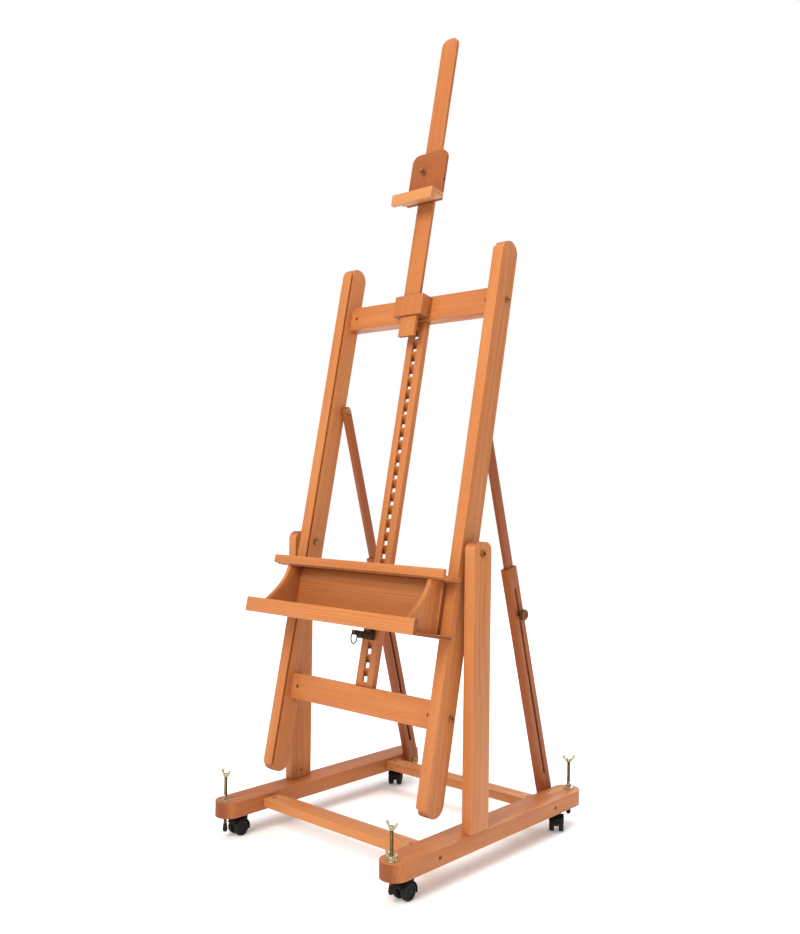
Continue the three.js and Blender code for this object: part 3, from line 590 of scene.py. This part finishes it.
def levelling_screw(corner):
    node = f"levelling_screw_{corner}"
    body = frame["nodes"][node]["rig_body"]
    low, high, middle = centre_of(node)
    here = upright(middle.x, middle.y, low.z, SCREW_TURNS.get(corner, 0.0))
    length = (high.z - low.z) / MM
    rod = threaded(4.0, FOOT_H - 1, length - WING_H + 1.5)
    fitting(f"screw_rod_{corner}", rod, THREAD, body, replaces=[node], matrix=here, smooth=50)
    fitting(f"screw_wings_{corner}", wing_head(6.5, 15, WING_H), PALE_BRASS, body,
            matrix=here @ Matrix.Translation((0, 0, (length - WING_H) * MM)), smooth=70)
    foot = [(0, 0), (2.4, 0), (4.2, 1), (5.3, 3), (5.8, 6.5), (5.6, 10), (5.1, 14), (4.7, 17.5), (4.3, 19.4),
            (3.6, 20), (0, 20)]
    fitting(f"screw_foot_{corner}", turned(foot, 36), RUBBER, body, matrix=here, smooth=50)


def lock_nut(corner):
    node = f"lock_nut_{corner}"
    low, _, middle = centre_of(node)
    head = wing_head(7.2, 16, NUT_WING_H + 1, flange=13)
    fitting(f"nut_{corner}", head, PALE_BRASS, frame["nodes"][node]["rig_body"], replaces=[node],
            matrix=upright(middle.x, middle.y, low.z, NUT_TURNS.get(corner, 0.0)), smooth=70)


WHEEL_R, CASTER_TRAIL, COLLAR_R, COLLAR_LOW = 19.0, 14.0, 11.5, 8.0


def collar_ring(radius, clear=WHEEL_R + 1.2):
    """A ring of the collar's underside, which follows the wheels at a small distance."""
    return [(x, y, max(COLLAR_LOW, math.sqrt(max(0.0, clear ** 2 - (y / MM + CASTER_TRAIL) ** 2))) * MM)
            for x, y, _ in circle(radius * MM, 0, 36)]


def caster(corner):
    """A hooded fork on a swivel stem, and a pair of wheels with hub caps."""
    swivel = SWIVELS[corner.split("_")[0]]
    _, _, axle = centre_of(f"caster_wheels_{corner}")
    here = upright(*axle, swivel)
    wheel = [(0, 5.5), (14.0, 5.5), (16.5, 5.5), (18.2, 6.2), (18.9, 7.6), (19.0, 11.0), (18.9, 14.4),
             (18.3, 16.2), (17.0, 17.3), (15.0, 17.5), (13.2, 17.4), (12.6, 16.7), (12.2, 15.6), (8.4, 15.4),
             (6.6, 15.6), (6.2, 16.6), (5.4, 17.1), (2.6, 17.4), (0, 17.4)]
    bm = bmesh.new()
    for side in (-1, 1):
        turned(wheel, 48, bm, pointing((side, 0, 0), (0, 0, 0)))
    turned([(0, -8), (3, -8), (3, 8), (0, 8)], 20, bm, pointing((1, 0, 0), (0, 0, 0)))
    node = f"caster_wheels_{corner}"
    fitting(f"wheels_{corner}", bm, TREAD, frame["nodes"][node]["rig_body"], "black_plastic", [node], here, 35)

    node = f"caster_housing_{corner}"
    body = frame["nodes"][node]["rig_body"]
    bm = bmesh.new()
    for outline, width in ((hood_outline(), 17.9), (fork_outline(), 5.0)):
        left = [bm.verts.new((-width * MM, y * MM, z * MM)) for y, z in outline]
        right = [bm.verts.new((width * MM, y * MM, z * MM)) for y, z in outline]
        for i in range(len(outline)):
            j = (i + 1) % len(outline)
            bm.faces.new((left[i], left[j], right[j], right[i]))
        bm.faces.new(left[::-1])
        bm.faces.new(right)
    fitting(f"hood_{corner}", bm, BLACK, body, "black_plastic", [node], here, 35, 0.5)
    top = (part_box(f"side_rail_{corner.split('_')[1]}")[0][2] - axle.z) / MM
    rings = [collar_ring(r) for r in (0.02, 4, 8, COLLAR_R - 0.6)]
    side = [(COLLAR_R, 24.5), (COLLAR_R, 27), (10.6, 27.6), (10.6, 28.4), (11.4, 29), (11.4, top - 1.4),
            (10.8, top - 0.4), (5, top - 0.3), (5, top + 25), (0.02, top + 25.5)]
    rings += [circle(r * MM, z * MM, 36) for r, z in side]
    fitting(f"swivel_{corner}", loft(rings), BLACK, body, "black_plastic",
            matrix=here @ Matrix.Translation((0, CASTER_TRAIL * MM, 0)), smooth=35)


def arc(radius, start, end, count):
    for i in range(count + 1):
        angle = math.pi * (start + (end - start) * i / count)
        yield radius * math.cos(angle), radius * math.sin(angle)


HOOD_START, HOOD_END = -0.1, 0.84


def hood_outline():
    return (list(arc(WHEEL_R + 3, HOOD_START, HOOD_END, 22))
            + list(arc(WHEEL_R + 1.2, HOOD_END, HOOD_START, 22)))


def fork_outline():
    points = list(arc(WHEEL_R + 2, HOOD_START, HOOD_END, 20))
    return points + [(-14.5, 3), (-10, -3.2), (-5, -6.9), (0, -8), (7, -8.1), (14, -7.4)]


def bolt_head(name, at, out, profile, socket, body, material=BRASS, **more):
    """A turned head with a hexagon socket, facing outwards. The profile ends at the socket's rim."""
    rings = [circle(max(r, 0.02) * MM, z * MM, 36) for r, z in profile]
    rim = profile[-1][1]
    width, depth = socket
    rings += [hexagon(width * MM, rim * MM), hexagon(width * MM * 0.97, (rim - depth) * MM),
              circle(0.4 * MM, (rim - depth - 0.5) * MM, 36)]
    return fitting(name, loft(rings), material, body, matrix=pointing(out, at), smooth=34, **more)


def pivot_bolt(side, sign):
    node = f"pivot_bolt_{side}"
    low, high, middle = centre_of(node)
    outer = high.x if sign > 0 else low.x
    body = frame["nodes"][node]["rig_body"]
    face = outer - sign * 5.8 * MM
    dome = [(0, 0), (7.0, 0), (7.5, 0.5), (7.5, 1.5), (6.9, 2.9), (5.8, 4.2), (4.6, 5.1), (3.4, 5.6)]
    bolt_head(f"pivot_head_{side}", (face, middle.y, middle.z), (sign, 0, 0), dome, (5.0, 3.0), body,
              KNOB_BRONZE, replaces=[node])
    inner = abs(low.x if sign > 0 else high.x) / MM
    shank = [(0, inner), (5.6, inner), (7.4, inner + 0.6), (7.4, inner + 5.2), (4, inner + 5.4),
             (4, abs(face) / MM + 1), (0, abs(face) / MM + 1)]
    fitting(f"pivot_shank_{side}", turned(shank, 32), BRASS, body,
            matrix=pointing((sign, 0, 0), (0, middle.y, middle.z)), smooth=34)


def crossbar_bolt(level, side, sign):
    node = f"crossbar_bolt_{level}_{side}"
    low, high = local_box(node, FRAME)
    middle = (low + high) / 2
    outer = (high.x if sign > 0 else -low.x) / MM
    inner = (low.x if sign > 0 else -high.x) / MM
    body = frame["nodes"][node]["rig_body"]
    here = FRAME @ pointing((sign, 0, 0), (0, middle.y, middle.z))
    cap = [(0, inner), (3, inner), (3, outer - 4.7), (7.3, outer - 4.7), (7.5, outer - 4.3),
           (7.3, outer - 2.2), (6.0, outer - 1.5), (5.2, outer - 1.3), (5.2, outer - 0.4), (4.8, outer)]
    rings = [circle(max(r, 0.02) * MM, z * MM, 36) for r, z in cap]
    rings += [hexagon(5.0 * MM, outer * MM), hexagon(4.8 * MM, (outer - 2.6) * MM),
              circle(0.3 * MM, (outer - 3) * MM, 36)]
    fitting(f"bar_bolt_{level}_{side}", loft(rings), BRASS, body, replaces=[node], matrix=here, smooth=34)


def barrel_nut(name, at, out, body, depth=9.0):
    """A round cross nut, sunk a little in its hole, with a slot-like dimple."""
    profile = [(0, -depth), (4.0, -depth), (4.2, -depth + 0.4), (4.2, -1.9), (3.8, -1.5), (1.6, -1.5),
               (1.3, -2.6), (0, -2.8)]
    fitting(name, turned(profile, 28), BRASS, body, matrix=pointing(out, at), smooth=34)


for end, _ in ENDS:
    for side, _ in SIDES:
        levelling_screw(f"{end}_{side}")
        lock_nut(f"{end}_{side}")
        caster(f"{end}_{side}")

FRAME_FRONT = -FRAME.to_3x3().col[1]
BOLT_RECESS_DEPTH, RECESSED_HEAD = 9.0, [(0, 0), (5.0, 0), (5.2, 0.3), (5.2, 7.0), (4.9, 7.4), (3.6, 7.4)]
for side, sign in SIDES:
    pivot_bolt(side, sign)
    for level in ("lower", "upper"):
        crossbar_bolt(level, side, sign)
        low, high = local_box(f"{level}_crossbar", FRAME)
        at = FRAME @ Vector((sign * (high.x - 20.7 * MM), low.y, (low.z + high.z) / 2))
        barrel_nut(f"bar_nut_{level}_{side}", at, FRAME_FRONT, "tilting_frame", 17.0)
    for rail in ("front", "rear"):
        low, high, middle = centre_of(f"{rail}_cross_rail")
        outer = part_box(f"side_rail_{side}")[1 if sign > 0 else 0][0]
        seat = (outer - sign * (BOLT_RECESS_DEPTH - 0.1) * MM, middle.y, middle.z)
        bolt_head(f"rail_bolt_{rail}_{side}", seat, (sign, 0, 0), RECESSED_HEAD, (4.6, 2.6), "base")
        barrel_nut(f"rail_nut_{rail}_{side}", (sign * (high.x - 13.7 * MM), middle.y, high.z), (0, 0, 1),
                   "base", 13.0)
    low, high, middle = centre_of(f"post_{side}")
    inner = low.x if sign > 0 else high.x
    barrel_nut(f"post_nut_{side}", (inner, middle.y, low.z + 19.7 * MM), (-sign, 0, 0), "base", 12.0)


def stay_fittings(side, sign):
    """The clamp knob, the foot bolt, and the bolt on which the bar's top turns."""
    here = STAYS[side]
    node = f"stay_knob_{side}"
    low, high = local_box(node, here)
    outer, inner = (high.x, low.x) if sign > 0 else (-low.x, -high.x)
    outer, inner = outer / MM, inner / MM
    height = (low.z + high.z) / 2
    at = here @ pointing((sign, 0, 0), (0, (low.y + high.y) / 2, height))
    face = outer - 10
    bm = loft([circle(0.02 * MM, (face - 8.7) * MM, 96), circle(7 * MM, (face - 8.7) * MM, 96),
               circle(7 * MM, (face - 7) * MM, 96), circle(5.6 * MM, (face - 6) * MM, 96),
               circle(5.6 * MM, (face - 1.2) * MM, 96), circle(7.2 * MM, face * MM, 96),
               circle(12 * MM, face * MM, 96), knurled(12.9 * MM, (face + 0.9) * MM, 0.5 * MM),
               knurled(13 * MM, (face + 1.2) * MM, 0.6 * MM), knurled(13 * MM, (outer - 1.6) * MM, 0.6 * MM),
               knurled(12.7 * MM, (outer - 1.1) * MM, 0.4 * MM), circle(11.6 * MM, (outer - 0.3) * MM, 96),
               circle(9.4 * MM, (outer - 0.3) * MM, 96), circle(8.8 * MM, (outer - 1.0) * MM, 96),
               circle(3.4 * MM, (outer - 1.0) * MM, 96), circle(2.8 * MM, outer * MM, 96)])
    body = frame["nodes"][node]["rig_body"]
    fitting(f"knob_{side}", bm, KNOB_BRONZE, body, replaces=[node], matrix=at, smooth=30)
    fitting(f"knob_screw_{side}", threaded(3.0, inner + 0.6, face - 7, 1.0), THREAD, body, matrix=at,
            smooth=50)
    nut = loft([hexagon(13.6 * MM, (inner + z) * MM) for z in (1.3, 1.6, 5.4, 5.7)])
    fitting(f"knob_nut_{side}", nut, BRASS, body, matrix=at, ease=0.4)

    node = f"stay_foot_bolt_{side}"
    low, high = local_box(node, here)
    inner, outer = ((low.x, high.x) if sign > 0 else (-high.x, -low.x))
    inner, outer = inner / MM, outer / MM
    head = [(4, -outer), (4, -inner - 4.7), (9, -inner - 4.6), (9, -inner - 2.4), (8, -inner - 0.9),
            (6, -inner - 0.2), (4.2, -inner)]
    at = here @ pointing((-sign, 0, 0), (0, 0, 0))
    rings = [circle(0.02 * MM, -outer * MM, 36)] + [circle(r * MM, z * MM, 36) for r, z in head]
    rings += [hexagon(5 * MM, -inner * MM), hexagon(4.8 * MM, (-inner - 2.6) * MM),
              circle(0.3 * MM, (-inner - 3) * MM, 36)]
    fitting(f"foot_bolt_{side}", loft(rings), BRASS, frame["nodes"][node]["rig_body"], replaces=[node],
            matrix=at, smooth=34)

    low, high = local_box(f"stay_bar_{side}", here)
    outer = (high.x if sign > 0 else -low.x) / MM
    inner = (low.x if sign > 0 else -high.x) / MM
    top = high.z - (high.y - low.y) / 2
    at = here @ pointing((sign, 0, 0), (0, 0, top))
    bolt = [(0, inner - 5.4), (3.4, inner - 5.2), (6.4, inner - 4), (7.8, inner - 2), (8, inner - 0.3),
            (4, inner - 0.3), (4, outer + 0.3), (8.6, outer + 0.3), (8.8, outer + 0.7), (8.8, outer + 3.6),
            (8.4, outer + 4), (0, outer + 4)]
    fitting(f"top_bolt_{side}", turned(bolt, 36), BRASS, f"stay_rod_{side}", matrix=at, smooth=34)


for side, sign in SIDES:
    stay_fittings(side, sign)


def wing_screw(node, name, head, matrix, rod_low, rod_high, head_base, material=BRASS):
    """A wing head on a threaded rod, along +Z of a matrix."""
    body = frame["nodes"][node]["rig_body"]
    fitting(f"{name}_rod", threaded(4.0, rod_low, rod_high), THREAD, body, replaces=[node], matrix=matrix,
            smooth=50)
    fitting(f"{name}_wings", head, material, body,
            matrix=matrix @ Matrix.Translation((0, 0, head_base * MM)), smooth=70)


HOLDER_WING_H = 17.0


def frame_screws():
    """The holder's wing screw, in front, and the mast lock, behind the upper crossbar."""
    low, high = local_box("holder_wing_screw", FRAME)
    middle = (low + high) / 2
    out = Matrix(((1, 0, 0), (0, 0, 1), (0, -1, 0))).transposed().to_4x4()
    out.translation = Vector((middle.x, high.y, middle.z))
    turn = Matrix.Rotation(math.radians(-35), 4, "Z")
    length = (high.y - low.y) / MM
    wing_screw("holder_wing_screw", "holder_screw", wing_head(5.5, 12.5, HOLDER_WING_H), FRAME @ out @ turn,
               0.3, length - HOLDER_WING_H + 2, length - HOLDER_WING_H)
    low, high = local_box("mast_lock_screw", FRAME)
    middle = (low + high) / 2
    back = Matrix(((1, 0, 0), (0, 0, -1), (0, 1, 0))).transposed().to_4x4()
    back.translation = Vector((0, low.y, middle.z))
    length = (high.y - low.y) / MM
    wing_screw("mast_lock_screw", "mast_lock", wing_head(8, 19, 26), FRAME @ back, 0.3, length - 24,
               length - 26)


frame_screws()


def strap_screws():
    """Small round heads that hold the strap, on the holder plate's edges."""
    low, high = local_box("holder_plate", FRAME)
    strap_low, strap_high = local_box("holder_strap", FRAME)
    for sign in (-1, 1):
        at = FRAME @ Vector((sign * high.x, (low.y + high.y) / 2, (strap_low.z + strap_high.z) / 2))
        head = turned([(0, -0.3), (3.2, -0.3), (3.3, 0.6), (2.6, 1.6), (1.4, 2.2), (0, 2.4)], 24)
        fitting(f"strap_screw_{sign}", head, DARK_BRONZE, "canvas_holder", "dark_bronze",
                matrix=pointing((sign, 0, 0), at), smooth=40)


strap_screws()


SPACER_STEPS = 40


def spacer(side):
    node = f"pivot_spacer_{side}"
    low, high, middle = centre_of(node)
    length = (high.x - low.x) / MM
    body = frame["nodes"][node]["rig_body"]
    rings = [(4.5, 0), (12.4, 0), (13, 0.6), (13, length - 0.6), (12.4, length), (4.5, length)]
    bm = bmesh.new()
    loops = [[bm.verts.new(p) for p in circle(r * MM, z * MM, SPACER_STEPS)] for r, z in rings]
    for a, b in zip(loops, loops[1:] + loops[:1]):
        for i in range(SPACER_STEPS):
            j = (i + 1) % SPACER_STEPS
            bm.faces.new((a[i], a[j], b[j], b[i]))
    fitting(f"spacer_{side}", bm, BRASS, body, replaces=[node],
            matrix=pointing((1, 0, 0), (low.x, middle.y, middle.z)))


for side, _ in SIDES:
    spacer(side)


def metalwork(node, material, ease):
    """A cut metal CAD node, rebuilt with eased edges."""
    mesh = eased(clean_copy(node), ease * MM)
    mesh.materials.clear()
    mesh.polygons.foreach_set("material_index", [0] * len(mesh.polygons))
    piece = link("metal_" + node, mesh, material, frame["nodes"][node]["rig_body"], smooth=34)
    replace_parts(piece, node)


metalwork("pawl", DARK_BRONZE, 0.5)
metalwork("holder_strap", DARK_BRONZE, 0.5)


RING_TWIST = 14.3  # degrees about the vertical
RING_WIRE_R, RING_STEPS, WIRE_STEPS = 1.6 * MM, 64, 12


def pull_ring():
    """A ring of round wire with its ends butted at the top."""
    low, high, middle = centre_of("pawl_ring")
    wire, count = RING_WIRE_R, RING_STEPS
    radius = (high.z - low.z) / 2 - wire
    bm = bmesh.new()
    loops = []
    for i in range(count):
        a = TAU * i / count
        ring = []
        for k in range(WIRE_STEPS):
            b = TAU * k / WIRE_STEPS
            r = radius + wire * math.cos(b)
            ring.append(bm.verts.new((wire * math.sin(b), r * math.sin(a), r * math.cos(a))))
        loops.append(ring)
    for i in range(count):
        a, b = loops[i], loops[(i + 1) % count]
        for k in range(WIRE_STEPS):
            j = (k + 1) % WIRE_STEPS
            bm.faces.new((a[k], a[j], b[j], b[k]))
    hang = Matrix.Translation(middle) @ Matrix.Rotation(math.radians(RING_TWIST), 4, "Z")
    fitting("pull_ring_wire", bm, DARK_BRONZE, frame["nodes"]["pawl_ring"]["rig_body"], "dark_bronze",
            ["pawl_ring"], hang, 60)


pull_ring()


# ---------------------------------------------------------------- stage

AMBIENT = 0.62


FLOOR_HALF = 14  # metres
FLOOR_GLOW, WALL_GLOW = 0.14, 0.47  # the floor's own light, near the object and far away
GLOW_START, GLOW_END = 1.0, 3.6


def make_floor():
    bm = bmesh.new()
    bmesh.ops.create_grid(bm, x_segments=2, y_segments=2, size=FLOOR_HALF)
    mesh = to_mesh(bm, "floor")
    n = Nodes("pale_floor")
    place = n.add("ShaderNodeTexCoord").outputs["Object"]
    n.set(Base_Color=n.mix(n.noise(place, 0.6, 1.0), rgb(0.87, 0.87, 0.865), rgb(0.89, 0.89, 0.885)),
          Roughness=0.8)
    # far from the object the floor runs out into the white walls
    away = n.add("ShaderNodeVectorMath", operation="LENGTH")
    n.feed(away.inputs[0], place)
    glow = n.ranged(away.outputs["Value"], GLOW_START, GLOW_END, FLOOR_GLOW, WALL_GLOW)
    n.set(Emission_Color=rgb(1, 1, 1), Emission_Strength=glow)
    n.set(Specular_IOR_Level=0.1)
    mesh.materials.append(n.material)
    floor = bpy.data.objects.new("floor", mesh)
    bpy.context.scene.collection.objects.link(floor)


def make_world():
    """White studio walls: soft light on the object, and plain white to the eye."""
    world = bpy.data.worlds.new("studio")
    world.use_nodes = True
    tree = world.node_tree
    walls = tree.nodes["Background"]
    walls.inputs["Color"].default_value = rgb(1.0, 0.99, 0.975)
    walls.inputs["Strength"].default_value = AMBIENT
    seen = tree.nodes.new("ShaderNodeBackground")
    seen.inputs["Color"].default_value = rgb(1, 1, 1)
    path = tree.nodes.new("ShaderNodeLightPath")
    mixed = tree.nodes.new("ShaderNodeMixShader")
    tree.links.new(path.outputs["Is Camera Ray"], mixed.inputs[0])
    tree.links.new(walls.outputs[0], mixed.inputs[1])
    tree.links.new(seen.outputs[0], mixed.inputs[2])
    tree.links.new(mixed.outputs[0], tree.nodes["World Output"].inputs["Surface"])
    bpy.context.scene.world = world


def area_light(name, location, target, size, power, colour=(1, 1, 1)):
    data = bpy.data.lights.new(name, "AREA")
    data.shape = "RECTANGLE"
    data.size, data.size_y = size
    data.energy = power
    data.color = colour
    light = bpy.data.objects.new(name, data)
    bpy.context.scene.collection.objects.link(light)
    light.location = location
    light.rotation_mode = "QUATERNION"
    light.rotation_quaternion = (Vector(target) - Vector(location)).to_track_quat("-Z", "Y")


CAMERA_PLACE = (1.5895, -1.7938, 0.845)
CAMERA_YAW, CAMERA_PITCH, CAMERA_ROLL = 41.905, 1.076, 0.751  # degrees
CAMERA_LENS, CAMERA_SENSOR = 37.46, 36.0


def make_camera():
    """The camera stands right of and in front of the easel, at 0.85 m, almost level."""
    yaw, pitch, roll = (math.radians(a) for a in (CAMERA_YAW, CAMERA_PITCH, CAMERA_ROLL))
    forward = Vector((-math.sin(yaw) * math.cos(pitch), math.cos(yaw) * math.cos(pitch), math.sin(pitch)))
    right = forward.cross(Vector((0, 0, 1))).normalized()
    up = right.cross(forward)
    across = right * math.cos(roll) + up * math.sin(roll)
    upward = -right * math.sin(roll) + up * math.cos(roll)
    data = bpy.data.cameras.new("camera")
    data.sensor_width = CAMERA_SENSOR
    data.lens = CAMERA_LENS
    camera = bpy.data.objects.new("camera", data)
    bpy.context.scene.collection.objects.link(camera)
    pose = Matrix((across, upward, -forward)).transposed().to_4x4()
    pose.translation = CAMERA_PLACE
    camera.matrix_world = pose
    bpy.context.scene.camera = camera


make_floor()
make_world()
area_light("key", (1.1, -4.3, 3.9), (0, 0, 0.8), (2.6, 2.6), 262, (1.0, 0.985, 0.96))
area_light("overhead", (0.2, 0.3, 5.2), (0, 0, 0.4), (3.4, 3.4), 120)
area_light("back", (-0.8, 4.4, 3.4), (0, 0, 1.0), (3.0, 2.0), 110)
make_camera()
bpy.context.scene.view_settings.view_transform = "Standard"
